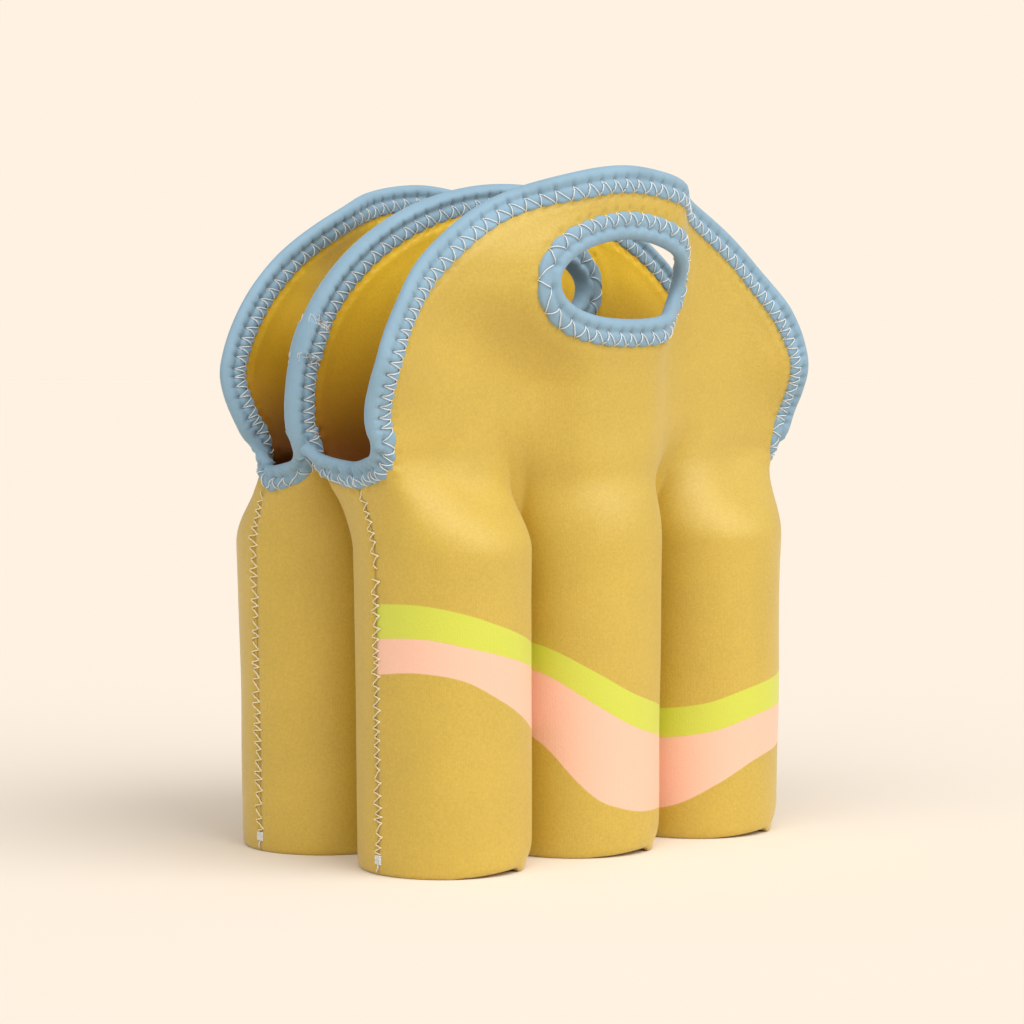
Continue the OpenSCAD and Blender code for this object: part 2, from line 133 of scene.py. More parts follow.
class Cut:
    """The carrier's pattern in millimetres: a point of a sheet is found from its place across and its height.

    Places are (x, d, z): x along the row, d away from the plane between the sleeves."""

    heel_in = 1.3
    heel_h = 3.4
    hinge_z = 160.0
    rise_from, rise_to = 120.0, 167.0
    side_run = 22.0
    corner_r = 7.0
    layer_d = 1.55
    seam_x = 104.6
    seam_d = 25.5
    flap_z, flap_power, flap_tuck, flap_foot = 183.0, 1.8, 4.0, 180.0
    middle_z, middle_power, middle_tuck, middle_foot = 175.0, 2.0, 7.0, 172.0
    tuck_run = 20.0
    hole_half, hole_z, hole_up, hole_down = 36.0, 223.0, 16.0, 14.5
    hole_powers = 1.8, 2.3
    crest_d = 66.7
    splay = 0.0108
    plump = 0.3
    waist_z, waist_squeeze, waist_dip = 143.0, 1.6, 4.2
    heel_tuck = 2.3
    seam_gap = 0.05
    upright_z = 70.0

    def __init__(self, sizes):
        self.t = sizes.sheet / MM
        self.r = sizes.bottle / MM / 2 + self.t / 2
        self.pitch = 2 * self.r + self.t + sizes.pocket_gap / MM
        self.row_d = WALL_BOX[1].y / MM - self.r - self.t / 2
        self.body_h = sizes.body / MM
        for name in ("mouth", "tape", "stitch", "seam_stitch", "thread", "tape_step"):
            setattr(self, name, getattr(sizes, name) / MM)
        self.flap_w = sizes.flap_half / MM
        self.flap_rise = sizes.flap_top / MM - self.flap_z
        self.middle_w = sizes.middle_half / MM
        self.middle_rise = sizes.middle_top / MM - self.middle_z
        self.step = sizes.cloth_step / MM
        self.seed = sizes.seed
        self.arc = math.pi * self.r
        self.web = self.pitch - 2 * self.r
        self.half = 1.5 * self.arc + self.web
        self.corner_s = self.half - self.side_run

    def pocket(self, s, off, way, z):
        """Round the bottles, off millimetres out. way is 1 on the outer sheet and -1 on the inner one."""
        run = self.arc + self.web
        k = np.clip(np.round(s / run), -1, 1)
        a = np.clip(math.pi / 2 + (s - k * run) / self.arc * math.pi, 0, math.pi)
        r = self.r + way * off + self.plump * bell(z - self.rise_from - 2, 11.0)
        r = r - self.waist_squeeze * bell(z - self.waist_z, 9.0)
        if way > 0:
            q = a / math.pi - 0.5
            right = bell(q - 0.27, 0.13) * (1 - ease(0.34, 0.46, q))
            r = r - self.heel_tuck * right * (1 - ease(0, 13, z)) ** 2
        lift = self.seam_gap + np.where(np.abs(s) > run, 0.0, self.t / 2 + way * off)
        return k * self.pitch - r * np.cos(a), way * np.maximum(lift, r * np.sin(a))

    def arch_of(self, way):
        """The middle height, half width, rise and power of an outer flap's arch or of the middle one's."""
        if way > 0:
            return self.flap_z, self.flap_w, self.flap_rise, self.flap_power
        return self.middle_z, self.middle_w, self.middle_rise, self.middle_power

    def half_at(self, z, xi, way, form, inset=0.0):
        """Half the width of a flap at a height, on the side that xi lies on."""
        mid, w, rise, power = self.arch_of(way)
        w, rise = w - inset, rise - inset
        up = np.clip((z - mid) / rise, 0, 1)
        top = w * np.power(1 - np.power(up, power), 1 / power)
        tuck, foot = (self.flap_tuck, self.flap_foot) if way > 0 else (self.middle_tuck, self.middle_foot)
        low = w - tuck * (np.maximum(0, foot - z) / self.tuck_run) ** 2
        pull = np.where(xi < 0, form["tuck"][0], form["tuck"][1]) * (way > 0)
        return np.where(z > mid, top, low) - pull * (1 - ease(156, 190, z))

    def crest(self, x, z):
        """Share of the crest in the flap's depth: steep to the right of the handle, wider on its left."""
        w = ease(182, 222, z)
        high = ease(228, 256, z)
        wide = np.where(x > 0, mix(29.0, 38.5, ease(198, 236, z)), mix(mix(28.5, 62.0, w), 43.0, high))
        power = np.where(x > 0, mix(5.0, 7.5, w), mix(4.5, 5.4, w))
        return 1 / (1 + np.power(np.abs(x) / wide, power))

    def flap_depth(self, x, z, form):
        """How far a flap hangs from the plane between the sleeves."""
        swell = form["swell"] * ease(80, 112, np.abs(x)) * ease(168, 195, z) * (1 - ease(212, 240, z))
        pull = np.where(x < 0, form["foot"][0], form["foot"][1])
        foot = pull * ease(70, 108, np.abs(x)) * (1 - ease(156, 192, z))
        top = self.crest_d - form["lean"] * ease(self.hinge_z, self.flap_z + self.flap_rise, z)
        waist = 4.7 * (1 - ease(172, 226, z)) + 1.2 * bell(z - 159, 11)
        waist = waist + self.waist_dip * bell(z - self.waist_z - 2, 8.5)
        side_dip = 1.5 * bell(z - self.waist_z - 4, 8.0) * bell(np.abs(x) - 66, 24.0)
        low = form["hollow"] + swell - foot - side_dip
        return low + (top - waist - low) * self.crest(x, z)

    def turn(self, xi, corner_x, corner_d, mid_d, z, r):
        """A line across, turned smoothly round a flap's corner towards the side seam."""
        q = np.abs(xi) - corner_x
        flat = ease(157, 168, z)
        k = r * (1 - ease(153, 168, z)) + 0.01
        run_x, run_d = self.seam_x - corner_x, self.seam_d - corner_d
        run = np.hypot(run_x, run_d)
        before = (q - np.sqrt(q * q + k * k)) / 2
        after = (q + np.sqrt(q * q + k * k)) / 2 * 2 * run / (run + np.sqrt(run * run + k * k))
        x = corner_x + before + flat * after
        return np.sign(xi) * (x + (1 - flat) * run_x / run * after), \
            mid_d(np.sign(xi) * x) + (1 - flat) * run_d / run * after

    def side_len(self, corner_x, corner_d):
        """The run from a flap's corner to the side seam."""
        return np.hypot(self.seam_x - corner_x, self.seam_d - corner_d)

    def corner(self, z, xi, way, form):
        """Where a flap's side edge is above the fold to the side seam: its distance out and its depth."""
        z = np.maximum(z, 148.0)
        x = self.half_at(z, xi, way, form)
        return x, (self.flap_depth(np.sign(xi) * x, z, form) if way > 0 else self.layer_d + 0 * x)

    def high(self, xi, z, way, form):
        """The sheet above the bottles: the flap, and below it the strip round to the side seam."""
        cx, cd = self.corner(z, xi, way, form)
        depth = (lambda v: self.flap_depth(v, z, form)) if way > 0 else (lambda v: self.layer_d + 0 * v)
        x, d = self.turn(xi, cx, cd, depth, z, self.corner_r)
        mid, _, rise, _ = self.arch_of(way)
        return np.stack([x, d, z - form["drop"][way < 0] * ease(195, mid + rise, z)], -1)

    def across(self, s, z, way, form):
        """Place across at a height, in millimetres of the spread sheet, for a place s along the pockets."""
        cx, cd = self.corner(z, s, way, form)
        a = np.abs(s)
        past = cx + (a - self.corner_s) / self.side_run * self.side_len(cx, cd)
        return np.sign(s) * np.where(a < self.corner_s, cx * a / self.corner_s, past)

    def along(self, xi, z, way, form):
        """The other way round: the place along the pockets for a place across."""
        cx, cd = self.corner(z, xi, way, form)
        a = np.abs(xi)
        past = self.corner_s + (a - cx) * self.side_run / self.side_len(cx, cd)
        return np.sign(xi) * np.where(a < cx, a * self.corner_s / np.maximum(cx, 1e-6), past)

    def sheet(self, xi, z, off, way, form):
        """A point of a sheet, off millimetres from its middle surface: out (outer) or into the pocket."""
        xi, z, off = np.broadcast_arrays(*(np.asarray(v, float) for v in (xi, z, off)))
        e = 0.4
        here = self.high(xi, z, way, form)
        across = self.high(xi + e, z, way, form) - self.high(xi - e, z, way, form)
        up = self.high(xi, z + e, way, form) - self.high(xi, z - e, way, form)
        high = here + off[..., None] * unit(np.cross(up, across))
        s = self.along(xi, z, way, form)
        lx, ld = self.pocket(s, off, way, z)
        lean = self.splay * (np.clip(z, 0, 150) - self.upright_z)
        low = np.stack([lx + lean * lx / self.pitch, self.row_d + ld + 0.35 * lean, z], -1)
        rise_to = mix(self.rise_to + 6, self.rise_to - 8, ease(60, 105, np.abs(s)))
        return mix(low, high, ease(self.rise_from, rise_to, z)[..., None])


# Each sleeve's own set: how deep its flap hangs, and how its left and right corners are pulled in
FRONT = {"hollow": 47.5, "lean": 0.0, "swell": 6.5, "drop": (0.0, 1.6), "tuck": (0.0, 1.5),
         "foot": (0.0, 2.0), "mouth": (0.0, 0.0)}
BACK = {"hollow": 40.0, "lean": 10.0, "swell": 0.0, "drop": (1.9, 1.6), "tuck": (4.5, 2.0),
        "foot": (6.0, 3.0), "mouth": (-3.0, 0.0)}
SLEEVES = [("front", -1, FRONT), ("back", 1, BACK)]


def spans(marks, step):
    """Values from the first mark to the last, through each mark, about step apart."""
    out = [marks[0]]
    for a, b in zip(marks, marks[1:]):
        n = max(1, int(round(abs(b - a) / step)))
        out += [a + (b - a) * k / n for k in range(1, n + 1)]
    return np.array(out)


def placed(points, side):
    """From (x, d, z) in millimetres to metres in the carrier's frame, on the front or the back."""
    out = np.array(points, float)
    out[..., 1] *= side
    return out * MM


def mesh_object(name, points, faces, materials, face_material=None):
    """A new object at the origin from points in metres."""
    mesh = bpy.data.meshes.new(name)
    points = np.asarray(points, float).reshape(-1, 3)
    mesh.from_pydata(points.tolist(), [], [list(map(int, f)) for f in faces])
    mesh.update()
    piece = bpy.data.objects.new(name, mesh)
    bpy.context.scene.collection.objects.link(piece)
    for material in materials:
        mesh.materials.append(material)
    if face_material is not None:
        mesh.polygons.foreach_set("material_index", np.asarray(face_material, np.int32))
    mesh.polygons.foreach_set("use_smooth", np.ones(len(mesh.polygons), bool))
    return piece


def put_attribute(piece, name, values):
    """A number for each point, which the materials read."""
    attribute = piece.data.attributes.new(name, "FLOAT", "POINT")
    attribute.data.foreach_set("value", np.asarray(values, np.float32).ravel())


def put_uv(piece, u, v):
    """A UV map from one pair of values a point, in millimetres over 100."""
    index = np.zeros(len(piece.data.loops), np.int32)
    piece.data.loops.foreach_get("vertex_index", index)
    pair = np.stack([np.asarray(u).ravel()[index], np.asarray(v).ravel()[index]], -1) / 100
    layer = piece.data.uv_layers.new(name="Cloth")
    layer.data.foreach_set("uv", pair.astype(np.float32).ravel())


def grid_normals(grid):
    """Unit normals of a grid of points, pointing where up cross across points."""
    return unit(np.cross(np.gradient(grid, axis=0), np.gradient(grid, axis=1)))


def dented(grid, normals, points, depth, width, puff, puff_width):
    """A grid of points with a small dent at each stitch hole and the cloth between them puffed up."""
    flat = grid.reshape(-1, 3)
    move = np.zeros(len(flat))
    for start in range(0, len(points), 40):
        part = points[start:start + 40]
        near = np.linalg.norm(flat[:, None, :] - part[None], axis=2)
        move -= (depth * bell(near, width) - puff * bell(near, puff_width)).sum(1)
    return (flat + np.clip(move, -depth, puff)[:, None] * normals.reshape(-1, 3)).reshape(grid.shape)


def sheet_faces(kept, back):
    """Quads of a closed sheet: its face, its back (whose points start at back) and the strips between."""
    rows, cols = kept.shape
    width = cols + 1
    faces, kinds = [], []

    def add(quad, kind):
        faces.append(quad)
        kinds.append(kind)

    for r, c in np.argwhere(kept):
        a = r * width + c
        b = a + width
        add((a, a + 1, b + 1, b), 0)
        add((back + a, back + b, back + b + 1, back + a + 1), 1)
        if r == 0 or not kept[r - 1, c]:
            add((a, back + a, back + a + 1, a + 1), 1)
        if r == rows - 1 or not kept[r + 1, c]:
            add((b, b + 1, back + b + 1, back + b), 1)
        if c == 0 or not kept[r, c - 1]:
            add((a, b, back + b, back + a), 1)
        if c == cols - 1 or not kept[r, c + 1]:
            add((a + 1, back + a + 1, back + b + 1, b + 1), 1)
    return faces, kinds


def trimmed(points, faces, *extras):
    """Drops points that no face uses."""
    used = np.unique(np.concatenate([np.asarray(f) for f in faces]))
    index = np.full(len(points), -1)
    index[used] = np.arange(len(used))
    return [points[used], [tuple(index[list(f)]) for f in faces]] + [e[used] for e in extras]


def foot_lift(cut, s):
    """The cut edge at a pocket's foot rides up a little between its corners, most of it on the right."""
    run = cut.arc + cut.web
    q = (s - np.clip(np.round(s / run), -1, 1) * run) / cut.arc
    return (0.35 + 1.5 * ease(-0.19, 0.09, q)) * ease(-0.20, -0.17, q) * (1 - ease(0.09, 0.12, q))


def foot_rows(cut, s, way):
    """The floor and the rounded heel of the pockets, as rows of points, for both faces of a sheet."""
    face, back = [], []
    rows = [(2 * cut.heel_in + cut.t / 2, 0.0, 0.0, True)]
    for k in range(6):
        a = math.pi / 2 * k / 6
        rows.append((cut.heel_in * (1 - math.sin(a)), cut.heel_h * (1 - math.cos(a)), k / 6, False))
    for inset, height, share, floor in rows:
        for off, out in ((cut.t / 2, face), (-cut.t / 2, back)):
            outward = off * way > 0
            x, d = cut.pocket(s, off, way, 0.0)
            k = np.clip(np.round(s / (cut.arc + cut.web)), -1, 1)
            shrink = 1 - inset / cut.r
            x = k * cut.pitch + (x - k * cut.pitch) * shrink
            d = 0.05 * way + 0 * d if floor else d * shrink
            z = height if outward else cut.t + cut.heel_h * share / 2 + (0 if floor else 0.1)
            if outward and way > 0 and not floor:
                z = z + foot_lift(cut, s) * (1 - height / 14)
            lean = -cut.splay * cut.upright_z
            out.append(np.stack([x + lean * x / cut.pitch, cut.row_d + d + 0.35 * lean, z + 0 * x], -1))
    return face, back


def hole_line(cut):
    """The hand opening's outline as (x, z)."""
    a = np.linspace(0, 2 * math.pi, 240, endpoint=False)
    p = np.where(np.sin(a) > 0, *cut.hole_powers)
    tall = np.where(np.sin(a) > 0, cut.hole_up, cut.hole_down)
    x = cut.hole_half * np.sign(np.cos(a)) * np.abs(np.cos(a)) ** (2 / p)
    z = cut.hole_z + tall * np.sign(np.sin(a)) * np.abs(np.sin(a)) ** (2 / p)
    return np.stack([x, z], -1)


def in_hole(cut, x, z, grow):
    """Whether places lie in the hand opening grown by a margin."""
    up = z > cut.hole_z
    p = np.where(up, *cut.hole_powers)
    tall = np.where(up, cut.hole_up + grow, cut.hole_down + grow)
    return (np.abs(x) / (cut.hole_half + grow)) ** p + (np.abs(z - cut.hole_z) / tall) ** p < 1


def resampled(line, step, closed=False):
    """A line of points at equal steps, and its length."""
    line = np.asarray(line, float)
    if closed:
        line = np.vstack([line, line[:1]])
    seg = np.linalg.norm(np.diff(line, axis=0), axis=1)
    at = np.concatenate([[0], np.cumsum(seg)])
    n = max(4, int(round(at[-1] / step)))
    want = np.linspace(0, at[-1], n + 1)
    out = np.stack([np.interp(want, at, line[:, k]) for k in range(line.shape[1])], -1)
    return (out[:-1] if closed else out), at[-1]


def inward_2d(line, closed=False):
    """Unit directions to the right of a line's way, smoothed over its neighbours."""
    if closed:
        t = np.roll(line, -1, 0) - np.roll(line, 1, 0)
    else:
        t = np.gradient(line, axis=0)
    t = unit(t)
    return np.stack([t[:, 1], -t[:, 0]], -1)


def arch_line(cut, way, form, foot):
    """A flap's edge from its left foot over the top to its right foot, as (across, height)."""
    mid, _, rise, power = cut.arch_of(way)
    a = np.linspace(0, math.pi / 2, 90)
    z = np.concatenate([np.linspace(foot, mid, 24)[:-1], mid + rise * np.sin(a) ** (2 / power)])
    left = np.column_stack([-cut.half_at(z, -1, way, form), z])
    right = np.column_stack([cut.half_at(z, 1, way, form), z])
    return np.vstack([left[:-1], [[0.0, z[-1]]], right[::-1][1:]])


def mouth_line(cut, form, way, low, r, sign):
    """From an arch's foot round the corner along the mouth to the side seam, on one sheet."""
    rim = cut.mouth + 2.2 + form["mouth"][sign > 0]
    foot_x = float(cut.half_at(np.array(low), sign, way, form))
    cx, cd = cut.corner(np.array(rim), np.array(float(sign)), way, form)
    end = float(cx + cut.side_len(cx, cd))
    a = np.linspace(0, math.pi / 2, 14)
    lean = cut.half_at(np.array(rim + r), sign, way, form) - foot_x
    fillet = np.stack([foot_x + lean + r - r * np.cos(a), rim + r - r * np.sin(a)], -1)
    drop = np.linspace(low, rim + r, 8)[:-1]
    start = np.stack([cut.half_at(drop, sign, way, form), drop], -1)
    flat_x = np.linspace(foot_x + lean + r, end, 16)[1:]
    sag = 2.0 * np.sin(np.clip((flat_x - flat_x[0]) / (end - flat_x[0]), 0, 1) * math.pi / 2)
    line = np.vstack([start, fillet, np.stack([flat_x, rim - sag], -1)])
    return line * [sign, 1]


def stations(cut, line, way):
    """Rows of (across, height, direction across, direction up, way) along a line, into the cloth."""
    line = resampled(line, cut.tape_step)[0]
    return np.column_stack([line, inward_2d(line) * way, np.full(len(line), float(way))])


# In millimetres: how deep and how wide the cloth is drawn in along a side seam
SEAM_DIP, SEAM_WIDTH = 0.55, 1.3

# Section of a binding: distance in from the rolled edge, and height over the middle of the sheet
BEAD = [(0.0, 0.0), (0.18, 0.8), (0.7, 1.65), (1.5, 2.35), (2.4, 2.72), (3.3, 2.78), (4.1, 2.55),
        (4.8, 2.2), (5.4, 1.98), (6.1, 1.98), (6.9, 2.06), (7.7, 2.1), (8.5, 2.08), (9.3, 2.02),
        (10.0, 1.92), (10.4, 1.7), (10.5, 1.42)]
RETURN = [(9.6, 1.1), (6.0, 1.1), (3.0, 1.0)]


def stitch_plan(at, total, pitches, rng, closed):
    """Places of the needle holes along a binding, the inner ones a bit past the outer ones."""
    count = np.concatenate([[0], np.cumsum(np.diff(np.append(at, total) if closed else at) / (
        pitches if closed else pitches[1:]))])
    n = int(round(count[-1]))
    place = np.append(at, total) if closed else at
    whole = np.interp(np.arange(n + 1) / n * count[-1], count, place)
    outer = whole[:-1] if closed else whole
    inner = whole[:-1] + np.diff(whole) * 0.34
    step = total / n
    outer = outer + rng.normal(0, 0.035 * step, len(outer))
    inner = inner + rng.normal(0, 0.055 * step, len(inner))
    return outer, inner, step


class Tape:
    """A stretch binding folded over an edge and zigzag stitched, built along rows of stations."""

    # In millimetres: how far in the two rows of needle holes lie, and how deep the thread pulls the tape
    inner_u, outer_u = 5.0, 10.2
    inner_deep, outer_deep, leg_deep, gather_deep = 0.80, 0.38, 0.42, 0.38
    pillow, splice_step = 0.72, 1.0

    def __init__(self, cut, rows, form, side, extra=0.0, closed=False, seed=0, rough=None, offset=0.0,
                 splice=()):
        self.cut, self.form, self.side, self.closed = cut, form, side, closed
        self.rows, self.offset, self.extra = rows, offset, extra
        self.rng = np.random.default_rng(cut.seed + seed)
        self.rough = rough if rough is not None else np.zeros(len(rows))
        edge = self.surface(np.zeros(len(rows)), np.zeros(len(rows)))
        seg = np.linalg.norm(np.diff(edge, axis=0), axis=1)
        if closed:
            seg = np.append(seg, np.linalg.norm(edge[0] - edge[-1]))
        self.at = np.concatenate([[0], np.cumsum(seg)])
        self.total = self.at[-1]
        self.at = self.at[:len(rows)]
        z = rows[:, 1]
        local = 0.84 + 0.38 * ease(205, 250, z) - 0.27 * bell(z - 161, 4.5)
        local = local + 0.28 * (1 - ease(154.8, 156.6, z))
        pitches = cut.stitch * (1.02 if closed else local) * np.ones(len(rows))
        self.outer, self.inner, self.pitch = stitch_plan(self.at, self.total, pitches, self.rng, closed)
        reach = self.surface(np.full(len(rows), cut.tape), np.zeros(len(rows)))
        self.squeeze = cut.tape / np.linalg.norm(reach - edge, axis=1)
        left = rows[:, 0] < 0
        self.splice = [float(np.interp(z, rows[left, 1], self.at[left])) for z in splice]
        self.shape()

    def surface(self, u, h):
        """Points u in from the edge and h over the sheet's middle, at each station."""
        out = np.zeros((len(self.rows), 3))
        for way in (1, -1):
            on = self.rows[:, 4] * way > 0
            if on.any():
                xi, z = self.place(self.rows[on], u[on], way)
                out[on] = self.cut.sheet(xi, z, way * h[on] + self.offset, way, self.form)
        return out

    def place(self, rows, u, way):
        """The place across and the height u in from the edge, along the pocket's threads in the mouths."""
        xi = rows[:, 0] + u * rows[:, 2]
        z = rows[:, 1] + u * rows[:, 3]
        s = self.cut.along(xi, rows[:, 1], way, self.form)
        low = self.cut.across(s, z, way, self.form)
        return mix(low, xi, ease(158, 172, rows[:, 1])), z

    def near(self, marks, at, k):
        """The mark k places on from each place along the tape."""
        i = np.searchsorted(marks, at) + k
        if not self.closed:
            return marks[np.clip(i, 0, len(marks) - 1)]
        return marks[i % len(marks)] + self.total * (i // len(marks))

    def relief(self, at, u, side):
        """Height added by stitches, puffs and wrinkles at a place along and in from the edge."""
        add = np.zeros_like(at)
        w = np.clip((u - self.inner_u) / (self.cut.tape - self.inner_u), 0, 1)
        for k in range(-2, 2):
            inner, outer, after = (self.near(m, at, j) for m, j in
                                   ((self.inner, k), (self.outer, k), (self.outer, k + 1)))
            add -= self.inner_deep * bell(np.hypot((at - inner) / 0.8, (u - self.inner_u) / 1.3), 1.0)
            add -= self.outer_deep * bell(np.hypot((at - outer) / 0.8, (u - self.outer_u) / 1.2), 1.0)
            for end in (outer, after):
                close = np.abs(end - inner) < self.pitch * 1.3
                leg = bell(at - (inner + (end - inner) * w), 0.55) * ease(4.6, 5.4, u)
                add -= close * self.leg_deep * leg
            add -= self.gather_deep * bell(at - inner, 0.75) * bell(u - 4.0, 1.6)
        add += self.pillow * ease(4.9, 6.4, u) * (1 - ease(10.1, 10.6, u))
        if self.splice:
            start, end = self.splice
            ragged = 0.35 * np.sin(u * 2.1) + 0.2 * np.sin(u * 5.3)
            on = ease(start - 0.5, start + 0.4, at + ragged) * (1 - ease(end - 0.4, end + 0.5, at - ragged))
            add += self.splice_step * on
        slow = np.sin(at / 7.3 + 1.7 * side) * np.sin(at / 3.1 + u * 0.5) * 0.13
        return add + slow * ease(0.0, 1.5, u)

    def scallop(self, at, u):
        """Pull of the tape's free edge between the outer needle holes."""
        before, after = self.near(self.outer, at, -1), self.near(self.outer, at, 0)
        way = np.clip((at - before) / np.maximum(after - before, 1e-3), 0, 1)
        return (np.sin(way * math.pi) * 1.4 - 0.65) * ease(7.0, 10.5, u)

    def folds(self, at, u, side):
        """Gathers where the tape is bunched round a corner."""
        one = np.sin(at * 1.25 + 0.35 * u * side + 0.9 * np.sin(at * 0.31)) * np.sin(at * 0.43 + 1.1)
        return 0.80 * one + 0.25 * np.sin(at * 2.7 + 0.9 * u)

    def shape(self):
        """The section swept along the edge: columns run from one free edge over the bead to the other."""
        cut, n = self.cut, len(self.rows)
        fat = 1 + self.extra / 2.4
        wide = cut.tape / BEAD[-1][0]
        over = [(cut.tape + 0.9, cut.t / 2 + (self.extra and cut.layer_d), 1)]
        over += [(u * wide, h * fat, 1) for u, h in BEAD[::-1]]
        columns = over + [(u, h, -1) for u, h, _ in over[::-1][1:]]
        columns += [(u, -h, 0) for u, h in RETURN] + [(u, h, 0) for u, h in RETURN[::-1]]
        grid, away = np.zeros((n, len(columns), 3)), np.zeros((n, len(columns), 3))
        for j, (u, h, side) in enumerate(columns):
            sign = side or 1
            level = np.full(n, h * sign)
            grid[:, j] = self.surface(u * self.squeeze, level)
            above, below = (self.surface(u * self.squeeze, level + step) for step in (1.5, -1.5))
            away[:, j] = unit(above - below)
        grid, away = self.smoothed(grid), unit(self.smoothed(away))
        inward = np.zeros_like(grid)
        inward[:, 1:-1] = unit(grid[:, 2:] - grid[:, :-2])
        for j, (u, h, side) in enumerate(columns):
            if not side or u > cut.tape + 0.5:
                continue
            uu = np.full(n, u)
            lift = self.relief(self.at, uu, side) * ease(0.3, 1.5, u)
            gather = self.rough * ease(0.0, 2.5, u) * (1 - 0.5 * ease(8, 10.5, u))
            lift += gather * self.folds(self.at, u, side)
            grid[:, j] += (side * lift)[:, None] * away[:, j]
            grid[:, j] -= (side * self.scallop(self.at, uu))[:, None] * inward[:, j]
        self.columns, self.grid, self.away = columns, grid, away

    def smoothed(self, grid):
        """Rounds the corners of the mouths along the tape."""
        w = np.clip(self.rough * 1.6, 0, 1)[:, None, None]
        if not w.any():
            return grid
        size = int(round(5.4 / self.cut.tape_step))
        kernel = bell(np.arange(-size, size + 1) * self.cut.tape_step, 2.8)
        kernel /= kernel.sum()
        pad = np.pad(grid, ((size, size), (0, 0), (0, 0)), mode="edge")
        out = sum(k * pad[i:i + len(grid)] for i, k in enumerate(kernel))
        return mix(grid, out, w)

    def point(self, at, u, side, lift):
        """Points on the tape's surface, or just beyond its free edge."""
        at = np.asarray(at, float) % self.total if self.closed else np.clip(at, 0, self.at[-1])
        i = np.interp(at, self.at, np.arange(len(self.at)))
        a = np.floor(i).astype(int)
        b = np.minimum(a + 1, len(self.rows) - 1)
        on = [j for j, c in enumerate(self.columns) if c[2] == side or (c[2] == 1 and c[0] == 0)]
        on = sorted(on, key=lambda j: self.columns[j][0])
        us = np.array([self.columns[j][0] for j in on])
        k = np.clip(np.searchsorted(us, u) - 1, 0, len(us) - 2)
        w = ((u - us[k]) / (us[k + 1] - us[k]))[:, None]
        on = np.array(on)

        def read(grid):
            one = mix(grid[a, on[k]], grid[b, on[k]], (i - a)[:, None])
            two = mix(grid[a, on[k + 1]], grid[b, on[k + 1]], (i - a)[:, None])
            return mix(one, two, w)

        return read(self.grid) + (side * lift)[:, None] * unit(read(self.away))

    def mesh(self, name, material):
        cols = [j for j, c in enumerate(self.columns) if c[0] < self.cut.tape + 0.5]
        grid = self.grid[:, cols]
        n, m = grid.shape[:2]
        us = [self.columns[j][0] * (self.columns[j][2] or 1) for j in cols]
        faces = []
        for i in range(n if self.closed else n - 1):
            i2 = (i + 1) % n
            for j in range(m):
                j2 = (j + 1) % m
                faces.append((i * m + j, i2 * m + j, i2 * m + j2, i * m + j2))
        if not self.closed:
            faces.append(tuple(range(m)))
            faces.append(tuple((n - 1) * m + j for j in range(m - 1, -1, -1)))
        piece = mesh_object(name, placed(grid, self.side), faces, [material])
        put_uv(piece, np.repeat(self.at, m), np.tile(us, n))
        fix_normals(piece)
        return piece

    def hole_places(self, way):
        """Outer needle holes just off the tape's edge, as places across and heights on one sheet."""
        at = self.outer[(self.outer > 1) & (self.outer < self.total - 1)]
        i = np.round(np.interp(at, self.at, np.arange(len(self.at)))).astype(int)
        i = np.clip(i, 0, len(self.rows) - 1)
        i = i[self.rows[i, 4] * way > 0]
        return np.stack(self.place(self.rows[i], (self.cut.tape + 1.25) * self.squeeze[i], way), -1)

    def frays(self):
        """Loose fibres at the cut ends of the overlap where the tape's two ends meet."""
        lines = []
        w = np.linspace(0, 1, 7)
        for at, way in zip(self.splice, (-1, 1)):
            for _ in range(34):
                side = int(self.rng.choice((-1, 1)))
                u = self.rng.uniform(0.2, 9.6)
                run, drift = self.rng.uniform(1.2, 4.2), self.rng.normal(0, 1.9)
                lift = 0.2 + self.rng.uniform(0.1, 0.7) * w * w
                us = np.clip(u + drift * w * w, 0.4, 10.4)
                lines.append(self.point(at + way * (run * w - 0.8), us, side, lift))
        return lines

    def thread_lines(self, side):
        """The zigzag as short runs of points from hole to hole."""
        lines = []
        r = self.cut.thread / 2
        w = np.linspace(0, 1, 9)
        lift = r + 0.12 + 0.22 * np.sin(w * math.pi) - 0.35 * bell(np.minimum(w, 1 - w), 0.07)
        for k, inner in enumerate(self.inner):
            ends = [self.outer[k], self.outer[(k + 1) % len(self.outer)]]
            if self.closed and k == len(self.outer) - 1:
                ends[1] += self.total
            for outer in ends:
                lines.append(self.point(mix(outer, inner, w), mix(self.cut.tape + 0.45, 5.1, w), side, lift))
        return lines


def fix_normals(piece):
    """Turns a closed piece's faces outwards."""
    bpy.ops.object.select_all(action="DESELECT")
    piece.select_set(True)
    bpy.context.view_layer.objects.active = piece
    bpy.ops.object.mode_set(mode="EDIT")
    bpy.ops.mesh.select_all(action="SELECT")
    bpy.ops.mesh.normals_make_consistent(inside=False)
    bpy.ops.object.mode_set(mode="OBJECT")
    piece.select_set(False)


